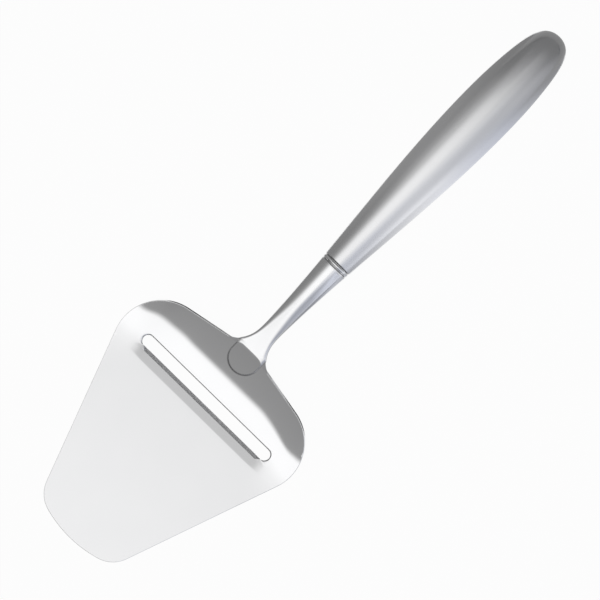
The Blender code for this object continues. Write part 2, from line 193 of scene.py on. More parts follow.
def band(graph, spots, direction):
    """Ramp over a direction from -1 to 1."""
    return graph.node("ShaderNodeValToRGB", {"stops": spots}, {"Fac": direction * 0.5 + 0.5})


room = bpy.data.worlds.new("studio_room")
bpy.context.scene.world = room
graph = blank_tree(room)
direction = graph.node("ShaderNodeTexCoord", output="Generated")
axes = graph.node("ShaderNodeSeparateXYZ", (), {"Vector": direction})
skewed = axes.out("X") - axes.out("Y") * (CLOTH_SKEW * axes.out("X").fade(*SKEW_BAND))
along = band(graph, stops(ALONG_TOOL, PLAIN, BRIGHTEST_ALONG), skewed)
across_stops = stops(ACROSS_LILAC, LILAC, BRIGHTEST_ACROSS) + stops(ACROSS_PLAIN, PLAIN, BRIGHTEST_ACROSS)
across = band(graph, across_stops, axes.out("Y"))
light = graph.node("ShaderNodeMix", {"data_type": "RGBA", "blend_type": "MULTIPLY"},
                   {"Factor": 1.0, 6: along, 7: across}, output=2)
ray = graph.node("ShaderNodeLightPath")
dark_room = graph.node("ShaderNodeBackground", (),
                       {"Color": light, "Strength": BRIGHTEST_ALONG * BRIGHTEST_ACROSS})
white = graph.node("ShaderNodeBackground", (), {"Color": (1, 1, 1, 1), "Strength": 1.0})
seen = ray.out("Is Camera Ray") | ray.out("Is Transmission Ray")
mixed = graph.node("ShaderNodeMixShader", (), {0: seen, 1: dark_room, 2: white})
graph.node("ShaderNodeOutputWorld", (), {"Surface": mixed})
print("room stops:", len(ALONG_TOOL), "along,", len(across_stops), "across")

# %% [markdown]
# ## Table and cards
# The table is a plain white sheet. The camera and the steel see it as white paper, and a small share of plain
# diffuse paint keeps the soft shadow under the tool. Photographers stand cards beside round metal, which only
# the steel can see: without them both rims of the handle melt into the white table.

# %% White table
TABLE_GLOW = 0.96
TABLE_PAINT = (0.92, 0.92, 0.92, 1)
TABLE_SIDE = 12
TABLE_SINK = 0.0002


def stage_sheet(name, middle, size, upright=False):
    """A flat sheet of the set, lying on the table or standing along the tool."""
    shape = bmesh.new()
    bmesh.ops.create_grid(shape, x_segments=1, y_segments=1, size=0.5)
    bmesh.ops.scale(shape, vec=(*size, 1), verts=shape.verts)
    if upright:
        bmesh.ops.rotate(shape, verts=shape.verts, cent=(0, 0, 0), matrix=Matrix.Rotation(pi / 2, 3, "X"))
    bmesh.ops.translate(shape, vec=middle, verts=shape.verts)
    mesh = bpy.data.meshes.new(name)
    shape.to_mesh(mesh)
    shape.free()
    sheet = bpy.data.objects.new(name, mesh)
    bpy.context.scene.collection.objects.link(sheet)
    return sheet


paper = bpy.data.materials.new("white_table")
graph = blank_tree(paper)
ray = graph.node("ShaderNodeLightPath")
seen = ray.out("Is Camera Ray") | ray.out("Is Glossy Ray") | ray.out("Is Transmission Ray")
paint = graph.node("ShaderNodeBsdfDiffuse", (), {"Color": TABLE_PAINT})
shine = graph.node("ShaderNodeEmission", (), {"Color": (1, 1, 1, 1), "Strength": 1.0})
mixed = graph.node("ShaderNodeMixShader", (), {0: seen * TABLE_GLOW, 1: paint, 2: shine})
graph.node("ShaderNodeOutputMaterial", (), {"Surface": mixed})
table = stage_sheet("table", (0, 0, -TABLE_SINK), (TABLE_SIDE, TABLE_SIDE))
table.data.materials.append(paper)
print("table, m:", list(table.dimensions))

# %% Cards that only the steel sees
CARD_START = -0.14
CARD_RUN = 0.74
CARD_TOP = 1.1
CARD_LIFT = 0.0004
STAND_BACK = 0.163
NECK_START = -0.03
BUTT_END = 0.1230
TOOL_GAP = 0.013
CEILING = 0.60
FAR = 5.0

# Each stop is a place along the tool, a brightness and a share of lilac
DARK_SIDE = [(-0.03, 0.26, 0), (0.01, 0.26, 0), (0.04, 0.31, 0), (0.08, 0.31, 0), (0.11, 0.24, 0)]
PALE_SIDE = [(-0.030, 0.64, 0.1), (-0.023, 0.58, 0.2), (-0.0165, 0.34, 0.8), (-0.007, 0.36, 0.8),
             (0.000, 0.56, 0.8), (0.004, 0.64, 0.7), (0.0095, 0.44, 0.6), (0.015, 0.54, 0.5),
             (0.030, 0.72, 0.3), (0.045, 0.90, 0.3), (0.055, 0.93, 0.5), (0.070, 0.79, 0.8),
             (0.085, 0.67, 1), (0.100, 0.50, 0.6), (0.112, 0.34, 0.3), (0.150, 0.22, 0.2)]
PALE_LOW = [(-0.045, 0.34, 1), (-0.038, 0.50, 1), (-0.031, 0.70, 1), (-0.024, 0.80, 1), (-0.0155, 0.86, 1),
            (-0.010, 0.72, 0.9), (-0.005, 0.60, 0.8), (0.000, 0.72, 0.6), (0.010, 1.06, 0.4),
            (0.028, 1.10, 0.2), (0.046, 1.04, 0.3), (0.065, 0.74, 0.8), (0.085, 0.61, 1),
            (0.120, 0.45, 0.4), (0.200, 0.26, 0.2)]
PALE_HIGH = [(-0.060, 0.43, 1), (-0.045, 0.55, 1), (-0.034, 0.75, 1), (-0.029, 0.84, 1), (-0.0235, 1.05, 1),
             (-0.019, 0.72, 1), (-0.0145, 0.37, 1), (-0.009, 0.42, 0.8), (-0.003, 0.66, 0.6),
             (0.002, 0.80, 0.4), (0.020, 0.81, 0.3), (0.040, 0.72, 0.4), (0.062, 0.62, 0.6),
             (0.085, 0.58, 0.5), (0.125, 0.57, 0.3), (0.200, 0.22, 0.2)]
PALE_TOP = [(-0.130, 0.64, 0.8), (-0.076, 0.97, 0.5), (-0.053, 1.06, 0.3), (-0.026, 0.95, 0.3),
            (0.006, 0.90, 0.2), (0.020, 0.91, 0.2), (0.044, 0.85, 0.3), (0.085, 0.80, 0.2),
            (0.140, 0.74, 0.2), (0.170, 0.66, 0.2), (0.240, 0.30, 0.2)]
BOUNCE_LOW = [(0.012, 0.24, 0), (0.042, 0.33, 0), (0.064, 0.31, 0), (0.086, 0.28, 0), (0.125, 0.24, 0)]
BOUNCE_HIGH = [(0.012, 0.28, 0), (0.042, 0.44, 0), (0.064, 0.38, 0), (0.086, 0.34, 0), (0.125, 0.28, 0)]
BOUNCE_TOP = [(0.012, 0.55, 0), (0.042, 0.70, 0), (0.064, 0.61, 0), (0.086, 0.51, 0), (0.125, 0.43, 0)]
BUTT_SHADE = [(0.170, 0.64, 0.1), (0.200, 0.58, 0.1), (0.290, 0.38, 0.1), (0.380, 0.26, 0.1),
              (0.540, 0.20, 0.1)]
BUTT_DIM = [(0.170, 0.51, 0.1), (0.200, 0.45, 0.1), (0.290, 0.28, 0.1), (0.380, 0.20, 0.1),
            (0.540, 0.17, 0.1)]
BUTT_FLOOR = [(0.120, 0.35, 0), (0.140, 0.27, 0), (0.180, 0.27, 0), (0.600, 0.26, 0)]
BLADE_FLOOR = [(-0.030, 0.36, 0), (-0.020, 0.42, 0), (-0.008, 0.95, 0)]
SHADE = [(-0.060, 0.10, 0), (0.600, 0.10, 0)]

# Each card has a name, two corners and its levels. A standing card has other levels higher up
CARDS = [
    ("dark_card", (NECK_START, TOOL_GAP, CARD_LIFT), (BUTT_END, FAR, CARD_LIFT), DARK_SIDE),
    ("far_dark_card", (-FAR, 0.12, CARD_LIFT), (NECK_START, FAR, CARD_LIFT), DARK_SIDE),
    ("pale_card", (NECK_START, -STAND_BACK, CARD_LIFT), (BUTT_END, -TOOL_GAP, CARD_LIFT), PALE_SIDE),
    ("butt_card", (BUTT_END, -FAR, CARD_LIFT), (FAR, FAR, CARD_LIFT), BUTT_FLOOR),
    ("standing_card", (-0.13, -STAND_BACK, 0), (0.24, -STAND_BACK, CEILING), PALE_LOW,
     [(0.02, 0.12, PALE_HIGH), (0.15, 0.45, PALE_TOP)]),
    ("bounce_card", (0.012, STAND_BACK, 0), (0.125, STAND_BACK, 0.20), BOUNCE_LOW,
     [(0.03, 0.09, BOUNCE_HIGH), (0.09, 0.19, BOUNCE_TOP)]),
    ("card_over_butt", (0.17, -0.60, CEILING), (0.45, 0.10, CEILING), BUTT_SHADE),
    ("dim_card_over_butt", (0.17, 0.10, CEILING), (0.45, 0.60, CEILING), BUTT_DIM),
    ("card_behind_butt", (0.45, -FAR, CEILING), (FAR, FAR, CEILING), BUTT_SHADE),
    ("card_behind_blade", (-0.031, -TOOL_GAP, CARD_LIFT), (-0.008, TOOL_GAP, CARD_LIFT), BLADE_FLOOR),
    # Painted shade: a dark card where the table lies in shade under the blade's raised rear, seen only in the
    # steel
    ("card_under_blade", (-0.055, -0.035, CARD_LIFT / 2), (-0.029, 0.035, CARD_LIFT / 2), SHADE),
]


def card_ramp(graph, along, levels):
    """Brightness of a card along the tool."""
    spots = []
    for place, level, lilac in levels:
        colour = tuple(level * (1 + lilac * (part - 1)) / CARD_TOP for part in LILAC)
        spots.append(((place - CARD_START) / CARD_RUN, colour))
    return graph.node("ShaderNodeValToRGB", {"stops": spots}, {"Fac": along})


def hang_card(name, low, high, levels, steps=()):
    """A card between two corners. Each step is a lower height, a higher height and the levels from there on."""
    size = [end - start for start, end in zip(low, high)]
    upright = size[1] == 0
    middle = [(start + end) / 2 for start, end in zip(low, high)]
    card = stage_sheet(name, middle, (size[0], size[2] if upright else size[1]), upright)
    material = bpy.data.materials.new(name)
    graph = blank_tree(material)
    spot = graph.node("ShaderNodeTexCoord", output="Object")
    place = graph.node("ShaderNodeSeparateXYZ", (), {"Vector": spot})
    along = (place.out("X") - CARD_START) * (1 / CARD_RUN)
    colour = card_ramp(graph, along, levels)
    for start, end, higher in steps:
        colour = graph.node("ShaderNodeMix", {"data_type": "RGBA"},
                            {"Factor": place.out("Z").fade(start, end), 6: colour,
                             7: card_ramp(graph, along, higher)}, output=2)
    shine = graph.node("ShaderNodeEmission", (), {"Color": colour, "Strength": CARD_TOP})
    graph.node("ShaderNodeOutputMaterial", (), {"Surface": shine})
    card.data.materials.append(material)
    card.visible_camera = False
    card.visible_diffuse = False
    card.visible_transmission = False
    card.visible_shadow = False
    print("card", name, "mm:", [round(1000 * side) for side in card.dimensions])


for card in CARDS:
    hang_card(*card)

# %% [markdown]
# ## Lines that the pieces share
# The blade, the neck and the handle flow into one another, so the same few curves guide all of them. They are
# measured in metres from the tip of the blade, and each piece is pushed to its place in the frame at the end.

# %% Measures of the slicer
BLADE_LENGTH = 0.0905
BLADE_WIDTH = 0.0809
SHEET = 0.0012
SLOT_WIDTH = 0.0043
SLOT_REAR = 0.07055
CUTTING_EDGE = SLOT_REAR - SLOT_WIDTH
SLOT_MIDDLE = SLOT_REAR - SLOT_WIDTH / 2
SLOT_HALF_LENGTH = 0.0305
TONGUE_NOSE = 0.0818
NOSE_LENGTH = 0.0058
TONGUE_HALF_WIDTH = 0.00605
NECK_ROOT = 0.0921
NECK_SHOULDER = 0.1321
RING_START = 0.1324
MOUTH = 0.1338
BELLY = 0.2075
BUTT = 0.24437
BELLY_RADIUS = 0.01026
AXIS_HEIGHT = BELLY_RADIUS
NOSE_CENTRE = TONGUE_NOSE + NOSE_LENGTH


def clamp(value, low=0.0, high=1.0):
    return max(low, min(high, value))


def smooth(t):
    return t * t * (3 - 2 * t)


def hermite(t, start, end, start_slope, end_slope, run):
    """Cubic from start to end over a run, with a slope at each end."""
    rest = 1 - t
    return (start * (1 + 2 * t) * rest * rest + end * (3 - 2 * t) * t * t
            + run * t * rest * (start_slope * rest - end_slope * t))


def bend_height(run, radius, angle):
    """Height gained by a sheet that bends round a radius to an angle and then runs on straight."""
    arc_run = radius * sin(angle)
    on_arc = clamp(run, 0.0, arc_run)
    return radius - sqrt(radius ** 2 - on_arc ** 2) + max(run - arc_run, 0.0) * tan(angle)


LIP_LENGTH = 0.00465
LIP_START = CUTTING_EDGE - LIP_LENGTH
LIP_BEND_RADIUS = 0.0050
LIP_PITCH = radians(10.0)
ROLL_RADIUS = 0.052
ROLL_ANGLE = radians(24.0)
SOLE_HEIGHT = bend_height(CUTTING_EDGE - LIP_START, LIP_BEND_RADIUS, LIP_PITCH)


def sole(x):
    """Underside of the blade on its middle line, behind the slot."""
    return SOLE_HEIGHT + bend_height(x - SLOT_MIDDLE, ROLL_RADIUS, ROLL_ANGLE)


def blade_top(x):
    return SOLE_HEIGHT + SHEET + bend_height(x - SLOT_MIDDLE, ROLL_RADIUS - SHEET, ROLL_ANGLE)


print("handle, mm:", round(1000 * (BUTT - MOUTH), 1), "blade, mm:", round(1000 * BLADE_LENGTH, 1))

# %% [markdown]
# ## Drawing with a pen
# An outline is one vertex that is pulled along: `extrude_vert_indiv` pulls a straight line, and `spin` swings
# the vertex round a centre into an arc. The same pen draws the blade's outline and every turned profile.

# %% A pen for outlines
UP = (0, 0, 1)
MERGE_DISTANCE = 2e-6

# Faces that meet at a larger angle than this keep a sharp edge
BLADE_SHARP = radians(28)
NECK_SHARP = radians(35)
OTHER_SHARP = radians(40)


class Pen:
    """Draws a chain of edges with bmesh operators, starting from one vertex."""

    def __init__(self, shape, start):
        self.shape = shape
        self.tip = bmesh.ops.create_vert(shape, co=start)["vert"][0]
        self.first = self.tip

    def line(self, end):
        self.tip = bmesh.ops.extrude_vert_indiv(self.shape, verts=[self.tip])["verts"][0]
        self.tip.co = end

    def arc(self, centre, axis, angle, steps):
        made = bmesh.ops.spin(self.shape, geom=[self.tip], cent=centre, axis=axis, dvec=(0, 0, 0),
                              angle=angle, space=Matrix.Identity(4), steps=steps, use_merge=False,
                              use_duplicate=False)
        self.tip = [part for part in made["geom_last"] if isinstance(part, bmesh.types.BMVert)][0]

    def close(self):
        bmesh.ops.contextual_create(self.shape, geom=[self.tip, self.first])


def finish_piece(name, shape, node, sharp, finish):
    """Merge, turn the faces outwards, push the piece to its place and put it on the frame."""
    bmesh.ops.remove_doubles(shape, verts=shape.verts, dist=MERGE_DISTANCE)
    bmesh.ops.recalc_face_normals(shape, faces=shape.faces)
    bmesh.ops.translate(shape, vec=(cad_low.x, 0, 0), verts=shape.verts)
    mesh = bpy.data.meshes.new(name)
    shape.to_mesh(mesh)
    open_edges = sum(not edge.is_manifold for edge in shape.edges)
    shape.free()
    mesh.shade_smooth()
    mesh.set_sharp_from_angle(angle=sharp)
    mesh.materials.append(finish)
    piece = bpy.data.objects.new(name, mesh)
    bpy.context.scene.collection.objects.link(piece)
    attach(piece, "root")
    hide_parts(node)
    print(name, "faces:", len(mesh.polygons), "open edges:", open_edges)
    return piece


print("pen strokes:", [name for name in vars(Pen) if not name.startswith("__")])

# %% [markdown]
# ## Mirror steel for the blade
# The sheet is polished until it mirrors the room. Even so a polished sheet isn't perfect: the mop leaves very
# fine lines along its stroke, and cheese and washing leave faint cloudy patches. The ground facet of the
# cutting lip is coarser, with lines straight across it. All of it is read from Object coordinates, in metres.

# %% Finish of the blade
def stretched(graph, scale):
    """Object coordinates, scaled by axis: a small number along an axis draws long lines along it."""
    place = graph.node("ShaderNodeTexCoord", output="Object")
    return graph.node("ShaderNodeVectorMath", {"operation": "MULTIPLY"}, {0: place, 1: scale})


def noise(graph, scale, detail=2.0, rough=0.5):
    values = {"Vector": stretched(graph, scale), "Scale": 1.0, "Detail": detail, "Roughness": rough}
    return graph.node("ShaderNodeTexNoise", (), values)


def tint(graph, amount, dark, pale):
    """Colour between two tones by an amount."""
    return graph.node("ShaderNodeMix", {"data_type": "RGBA"},
                      {"Factor": amount, 6: (*dark, 1), 7: (*pale, 1)}, output=2)


def metal(graph, colour, roughness, normal, metallic=1.0):
    values = {"Base Color": colour, "Roughness": roughness, "Normal": normal, "Metallic": metallic}
    shader = graph.node("ShaderNodeBsdfPrincipled", (), values)
    graph.node("ShaderNodeOutputMaterial", (), {"Surface": shader})


def bump(graph, height, distance):
    return graph.node("ShaderNodeBump", (), {"Height": height, "Distance": distance, "Strength": 1.0})


# Colour of painted shade in the joints and groove floors, partly a real solder line
JOINT_SHADE_COLOUR = (0.28, 0.28, 0.285)


def with_joint_shade(graph, colour, shade):
    """Darken a colour by painted shade in the joints and groove floors, partly a real solder line."""
    return graph.node("ShaderNodeMix", {"data_type": "RGBA"},
                      {"Factor": shade, 6: colour, 7: (*JOINT_SHADE_COLOUR, 1)}, output=2)


GRIND_WIDTH = 0.00135
GRIND_FADE = 0.0002
EDGE_FADE = 0.0004
FACET_HALF_LENGTH = 0.0288
FACET_END_FADE = 0.002
# Painted shade round the tongue's outline on the blade, partly a real solder line, stronger at the nose
JOINT_WIDTH = 0.00040
JOINT_CORE = 0.2 * JOINT_WIDTH
NOSE_JOINT_SHADE = 0.87
SIDE_JOINT_SHADE = 0.25
MIRROR_ROUGH = 0.055
MIRROR_DARK = (0.775, 0.777, 0.785)
MIRROR_PALE = (0.825, 0.825, 0.830)
MIRROR_RELIEF = 0.0000004

mirror = bpy.data.materials.new("mirror_steel")
graph = blank_tree(mirror)
strokes = noise(graph, (900, 9000, 9000), 3.0)
clouds = noise(graph, (70, 70, 70))
place = graph.node("ShaderNodeSeparateXYZ", (), {"Vector": stretched(graph, (1, 1, 1))})
edge = CUTTING_EDGE + cad_low.x
lip = place.out("X").fade(edge - GRIND_WIDTH, edge - GRIND_WIDTH + GRIND_FADE)
lip = lip * (1 - place.out("X").fade(edge, edge + EDGE_FADE))
facet = lip * (1 - abs(place.out("Y")).fade(FACET_HALF_LENGTH - FACET_END_FADE, FACET_HALF_LENGTH))
cuts = noise(graph, (1200, 12000, 1200))
# Painted shade in the seam round the tongue's nose and sides, partly a real solder line
before_centre = (NOSE_CENTRE + cad_low.x - place.out("X")) | 0.0
round_nose = graph.node("ShaderNodeCombineXYZ", (),
                        {"X": before_centre * (TONGUE_HALF_WIDTH / NOSE_LENGTH), "Y": place.out("Y")})
from_axis = graph.node("ShaderNodeVectorMath", {"operation": "LENGTH"}, {0: round_nose}, output="Value")
joint = 1 - (from_axis - TONGUE_HALF_WIDTH).fade(JOINT_CORE, JOINT_WIDTH)
beside_nose = place.out("X").fade(NOSE_CENTRE + cad_low.x, TONGUE_NOSE + cad_low.x)
joint = joint * (SIDE_JOINT_SHADE + (NOSE_JOINT_SHADE - SIDE_JOINT_SHADE) * beside_nose)
# A slanted plane through the middle of the sheet keeps the painted shade off the underside
slant = (sole(BLADE_LENGTH) - sole(TONGUE_NOSE)) / (BLADE_LENGTH - TONGUE_NOSE)
middle = slant * (place.out("X") - TONGUE_NOSE - cad_low.x) + (sole(TONGUE_NOSE) + SHEET / 2)
joint = joint * (place.out("Z") - middle).fade(-SHEET / 8, SHEET / 8)
roughness = MIRROR_ROUGH + 0.03 * clouds + 0.02 * strokes + facet * (0.16 + 0.14 * cuts)
colour = tint(graph, clouds * 0.6 + strokes * 0.4, MIRROR_DARK, MIRROR_PALE)
relief = bump(graph, strokes * 0.4 + facet * cuts * 6.0, MIRROR_RELIEF)
metal(graph, with_joint_shade(graph, colour, joint), roughness, relief)
print("mirror steel nodes:", len(mirror.node_tree.nodes))

# %% [markdown]
# ## The blade
# On the real tool a press cuts the outline and the slot from sheet, bends the lip in front of the slot down,
# rolls the rear of the sheet up towards the neck, and a wheel grinds the lip sharp. The steps here are the
# same: draw half the outline with half the slot, mirror it, give it its thickness, round the rims, cut it
# into strips so that it can bend, grind the facet and then bend it.

# %% Outline of half the blade
TIP_ARC_RADIUS = 0.0448
TIP_CORNER_RADIUS = 0.0111
SIDE_TAPER = radians(19.85)
SHOULDER_RADIUS = 0.0176
REAR_SWEEP = radians(10.85)
REAR_HALF_WIDTH = 0.0062
TIP_STEPS = 24
CORNER_STEPS = 20
SHOULDER_STEPS = 36
SLOT_STEPS = 20

side_normal = pi / 2 + SIDE_TAPER
shoulder_y = BLADE_WIDTH / 2 - SHOULDER_RADIUS
reach = SHOULDER_RADIUS - sin(REAR_SWEEP) * (REAR_HALF_WIDTH - shoulder_y)
shoulder = Vector((BLADE_LENGTH - reach / cos(REAR_SWEEP), shoulder_y, 0))
# The corner's centre lies on a line beside the straight side, and its arc touches the tip arc from inside
side_way = Vector((cos(SIDE_TAPER), sin(SIDE_TAPER), 0))
outward = Vector((cos(side_normal), sin(side_normal), 0))
tip_centre = Vector((TIP_ARC_RADIUS, 0, 0))
start = shoulder + outward * (SHOULDER_RADIUS - TIP_CORNER_RADIUS) - tip_centre
ahead = start.dot(side_way)
back = ahead + sqrt(ahead ** 2 + (TIP_ARC_RADIUS - TIP_CORNER_RADIUS) ** 2 - start.length_squared)
corner = start + tip_centre - side_way * back
corner_start = atan2(corner.y, corner.x - TIP_ARC_RADIUS)
slot_end = SLOT_HALF_LENGTH - SLOT_WIDTH / 2

blade = bmesh.new()
pen = Pen(blade, (0, 0, 0))
pen.arc(tip_centre, UP, corner_start - pi, TIP_STEPS)
pen.arc(corner, UP, side_normal - corner_start, CORNER_STEPS)
pen.line(shoulder + outward * SHOULDER_RADIUS)
pen.arc(shoulder, UP, REAR_SWEEP - side_normal, SHOULDER_STEPS)
pen.line((BLADE_LENGTH, REAR_HALF_WIDTH, 0))
pen.line((BLADE_LENGTH, 0, 0))
pen.line((SLOT_REAR, 0, 0))
pen.line((SLOT_REAR, slot_end, 0))
pen.arc((SLOT_MIDDLE, slot_end, 0), UP, pi, SLOT_STEPS)
pen.line((CUTTING_EDGE, 0, 0))
pen.close()
bmesh.ops.edgeloop_fill(blade, edges=blade.edges[:])
print("half blade: edges", len(blade.edges), "faces", len(blade.faces))

# %% Sheet with rounded rims
RIM_ROUND = 0.0002
SLOT_RIM_ROUND = 0.0005
SLOT_UNDER_ROUND = 0.00015
RIM_SEGMENTS = 4
RIM_ANGLE = 1.0
NEAR = 1e-6
TOUCH = 1e-7

half = blade.verts[:] + blade.edges[:] + blade.faces[:]
bmesh.ops.mirror(blade, geom=half, matrix=Matrix.Identity(4), merge_dist=NEAR, axis="Y")
made = bmesh.ops.extrude_face_region(blade, geom=blade.faces[:], use_keep_orig=True)
risen = [part for part in made["geom"] if isinstance(part, bmesh.types.BMVert)]
bmesh.ops.translate(blade, vec=(0, 0, SHEET), verts=risen)
bmesh.ops.recalc_face_normals(blade, faces=blade.faces)


def round_rims(shape, offset, in_slot, heights):
    """Round the rims of the slot or of the outline, at some heights of the flat sheet."""
    rims = []
    for edge in shape.edges:
        ends = [vert.co for vert in edge.verts]
        level = any(all(abs(end.z - height) < TOUCH for end in ends) for height in heights)
        slot = all(CUTTING_EDGE - NEAR < end.x < SLOT_REAR + NEAR and abs(end.y) < SLOT_HALF_LENGTH + NEAR
                   for end in ends)
        if level and slot == in_slot and edge.is_manifold and edge.calc_face_angle() > RIM_ANGLE:
            rims.append(edge)
    bmesh.ops.bevel(shape, geom=rims, offset=offset, offset_type="OFFSET", affect="EDGES",
                    segments=RIM_SEGMENTS, profile=0.5, material=-1)
    return len(rims)


print("rims rounded:", round_rims(blade, SLOT_RIM_ROUND, True, (SHEET,)), "over the slot,",
      round_rims(blade, SLOT_UNDER_ROUND, True, (0.0,)), "under it,",
      round_rims(blade, RIM_ROUND, False, (0.0, SHEET)), "outside")

# %% Strips that can bend
def slice_sheet(shape, normal, places, front):
    """Cut the sheet behind a place along planes across one axis."""
    for place in places:
        faces = [face for face in shape.faces if face.calc_center_median().x > front]
        edges = {edge for face in faces for edge in face.edges}
        verts = {vert for face in faces for vert in face.verts}
        bmesh.ops.bisect_plane(shape, geom=list(verts) + list(edges) + faces, dist=TOUCH,
                               plane_co=[place * part for part in normal], plane_no=normal)


SOFT_FRONT = 0.052
LIP_STRIPS = 5
FRONT_STRIPS, FRONT_STEP = 8, 0.0012
ROLL_STRIPS, ROLL_STEP = 47, 0.0006
SIDE_STRIPS, SIDE_STEP = 26, 0.0015

bend_run = LIP_BEND_RADIUS * sin(LIP_PITCH)
lip_cuts = [LIP_START + bend_run * i / LIP_STRIPS for i in range(LIP_STRIPS + 1)]
lip_cuts.append(CUTTING_EDGE - GRIND_WIDTH)
front_cuts = [SOFT_FRONT + FRONT_STEP * i for i in range(FRONT_STRIPS)]
roll_cuts = [LIP_START + bend_run + ROLL_STEP * i for i in range(2, ROLL_STRIPS)]
side_cuts = [SIDE_STEP * i for i in range(1, SIDE_STRIPS)]
slice_sheet(blade, (1, 0, 0), front_cuts + lip_cuts + roll_cuts, 0.0)
slice_sheet(blade, (0, 1, 0), side_cuts + [-place for place in side_cuts], SOFT_FRONT)
print("blade after cutting:", len(blade.faces), "faces")

# %% Grind the lip
FACET_TAPER = 0.0018
EDGE_THICKNESS = 0.0002
LEAST_CROWD = 0.1
CROWD_RUN = 0.002
FACET_SLOPE = (SHEET - EDGE_THICKNESS) / GRIND_WIDTH

for vert in blade.verts:
    x, y, z = vert.co
    if CUTTING_EDGE - GRIND_WIDTH - NEAR < x < CUTTING_EDGE + NEAR:
        width = smooth(clamp((FACET_HALF_LENGTH - abs(y)) / FACET_TAPER))
        crowd = max(width, LEAST_CROWD, clamp((abs(y) - FACET_HALF_LENGTH) / CROWD_RUN))
        x = CUTTING_EDGE - (CUTTING_EDGE - x) * crowd
        ground = SHEET - FACET_SLOPE * max(x - CUTTING_EDGE + GRIND_WIDTH * width, 0.0)
        vert.co = (x, y, min(z, ground))
print("facet slope, degrees:", round(atan2(FACET_SLOPE, 1) * 180 / pi, 1))

# %% Bend the lip down and roll the rear up
LIP_FADE = 0.0060
LIP_OVERRUN = 0.0008
ROLL_BOW = 0.0032
BOW_START = 0.017
BOW_RUN = 0.023
SOFT_MIDDLE = 0.0010
SOFT_SIDES = 0.0070
SOFT_START = 0.024
SOFT_RUN = 0.012
PITCH_STEP = 0.00001
FLAT_WEIGHT = 80


def roll_run(x, y):
    """Way behind the roll's first line, which bows forward and starts more softly beside the slot."""
    run = x - SLOT_MIDDLE + ROLL_BOW * smooth(clamp((abs(y) - BOW_START) / BOW_RUN))
    soft = SOFT_MIDDLE + SOFT_SIDES * smooth(clamp((abs(y) - SOFT_START) / SOFT_RUN))
    return (run + sqrt(run * run + soft * soft)) / 2


def lip_drop(x, y):
    fade = smooth(clamp((SLOT_HALF_LENGTH + LIP_OVERRUN - abs(y)) / LIP_FADE))
    fade *= 1 - smooth(clamp((x - CUTTING_EDGE) / (SLOT_MIDDLE - CUTTING_EDGE)))
    return fade * bend_height(min(x, CUTTING_EDGE) - LIP_START, LIP_BEND_RADIUS, LIP_PITCH)


def roll_height(x, y):
    return SOLE_HEIGHT + bend_height(roll_run(x, y), ROLL_RADIUS, ROLL_ANGLE)


def roll_pitch(x, y):
    return atan2(roll_height(x + PITCH_STEP, y) - roll_height(x - PITCH_STEP, y), 2 * PITCH_STEP)


for vert in blade.verts:
    x, y, z = vert.co
    pitch = roll_pitch(x, y)
    vert.co = (x - z * sin(pitch), y, roll_height(x, y) - lip_drop(x, y) + z * cos(pitch))

polished_blade = finish_piece("polished_blade", blade, "blade", BLADE_SHARP, mirror)
weighted = polished_blade.modifiers.new("flat_faces_lead", "WEIGHTED_NORMAL")
weighted.weight = FLAT_WEIGHT
weighted.keep_sharp = True
print("sole height, mm:", round(1000 * SOLE_HEIGHT, 3))

# %% [markdown]
# ## Polished steel for the neck
# A forging is ground along its length and then polished, which leaves it less sharp than the sheet. The lines
# run along the neck, so the noise is stretched in X, and the roughness drifts a little where hands wear it.

# %% Finish of the neck, ring and weld
# Vertex attribute that carries painted shade in the joints and groove floors
JOINT_SHADE = "joint_stain"
JOINT_ROUGH = 0.2
POLISH_RELIEF = 0.0000008


def polished(name, dark, pale, rough, spread, lines):
    """Steel polished along its length: fine lines, drifting roughness and faint clouds."""
    material = bpy.data.materials.new(name)
    graph = blank_tree(material)
    strokes = noise(graph, (500, lines, lines), 3.0)
    clouds = noise(graph, (120, 220, 220))
    roughness = rough + spread * (clouds - 0.5) + spread * (strokes - 0.5)
    colour = tint(graph, 0.5 * clouds + 0.5 * strokes, dark, pale)
    # Painted shade in the joints, read from the vertex attribute
    joint = graph.node("ShaderNodeAttribute", {"attribute_name": JOINT_SHADE}, output="Fac")
    relief = bump(graph, strokes, POLISH_RELIEF)
    metal(graph, with_joint_shade(graph, colour, joint), roughness + JOINT_ROUGH * joint, relief)
    return material


def shade_joint(shape, amount):
    """Write an amount of painted joint shade on every vertex."""
    layer = shape.verts.layers.float.new(JOINT_SHADE)
    for vert in shape.verts:
        vert[layer] = amount(vert.co)


neck_steel = polished("polished_neck_steel", dark=(0.785, 0.788, 0.795), pale=(0.84, 0.84, 0.845),
                      rough=0.15, spread=0.06, lines=7000)
weld_steel = polished("dressed_weld_steel", dark=(0.72, 0.72, 0.735), pale=(0.79, 0.79, 0.80),
                      rough=0.22, spread=0.12, lines=4000)
print("steels:", neck_steel.name, weld_steel.name)

# %% [markdown]
# ## The neck
# The neck is one forging: a flat tongue with a round nose lies on the rolled blade, a slim waist follows, and
# the round end meets the ring and carries the tang inside the handle. A rod with many rings is easy to make
# with `create_cone` and `subdivide_edges`. Each ring then gets its place along the tool and its own section:
# a plane cut over a crowned bar at the tongue, a soft square at the waist, a circle at the end.

# %% Lines of the neck
TONGUE_NOSE_THICKNESS = 0.0011
TONGUE_ROOT_THICKNESS = 0.0024
TONGUE_EDGE_ROUND = 0.00042
CREASE = 0.0907
NECK_PITCH = radians(9.0)
ROOT_HALF_WIDTH = 0.00615
WAIST_HALF_WIDTH = 0.0035
WAIST_RUN = 0.0099
FLARE_POWER = 3.0
SWELL_POWER = 1.25
MOUTH_RADIUS = 0.00559
MOUTH_SLOPE = 0.085
SEAT_LIFT = 0.00002
LIFT_START = 0.0865
ROUNDING_RUN = 0.029
ROUND_POWER = 2.0
SQUARE_EXTRA = 6.5
SQUARE_AT_CREASE = 0.4
SQUARE_RISE = 5


